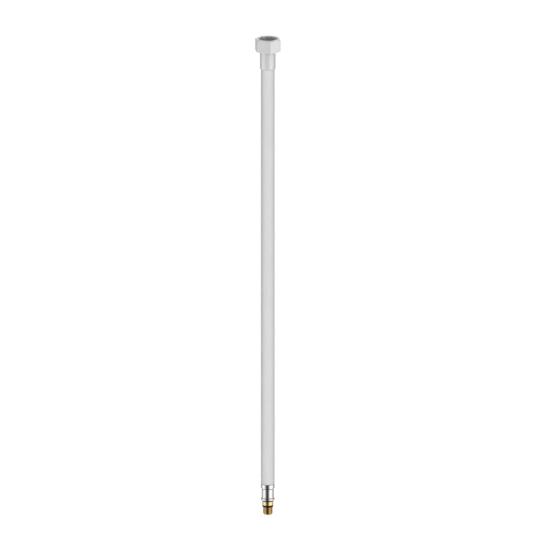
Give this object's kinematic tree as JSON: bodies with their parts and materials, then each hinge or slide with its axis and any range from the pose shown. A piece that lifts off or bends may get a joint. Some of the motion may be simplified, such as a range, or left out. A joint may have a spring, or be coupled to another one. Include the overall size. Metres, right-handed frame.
{
  "type": "flexible tap connector hose",
  "caption": "Flexible tap connector hose, white sheath over braid, with a brass threaded tap tail and O-ring at one end and a turning union nut at the other.",
  "frame": {"origin": "on the hose's axis, at the tip of the threaded tap tail, the object's lowest point", "axes": "+Z along the hose from the tap tail to the union nut; at rest one corner of the nut points to -Y and two flats face +X and -X"},
  "size_m": [0.024, 0.0278, 0.5],
  "materials": {
    "nut_enamel": "white lacquered brass, satin gloss, with a plain grey thread inside",
    "sleeve_plastic": "white moulded plastic, satin gloss",
    "sheath_plastic": "white soft plastic sheath, extruded smooth, satin",
    "chrome": "bright chrome plate",
    "brass": "turned bare brass",
    "seal_rubber": "black rubber, matt",
    "braid_steel": "woven stainless wire",
    "tube_rubber": "black rubber inner tube"
  },
  "bodies": {
    "hose": {"lower_tail": "brass", "o_ring": "seal_rubber", "back_ring": "seal_rubber", "lower_ferrule": "chrome", "outer_sheath": "sheath_plastic", "braid": "braid_steel", "inner_tube": "tube_rubber", "upper_ferrule": "chrome", "cover_sleeve": "sleeve_plastic", "upper_tail": "brass"},
    "gasket": {"nut_gasket": "seal_rubber"},
    "nut": {"union_nut": "nut_enamel"}
  },
  "joints": [
    {"name": "nut_turn", "type": "hinge", "parent": "hose", "child": "gasket", "pos_m": [0, 0, 0.493], "axis": [0, 0, 1], "continuous": true},
    {"name": "nut_lift", "type": "slide", "parent": "gasket", "child": "nut", "axis": [0, 0, 1], "range_m": [0, 0.001]}
  ]
}
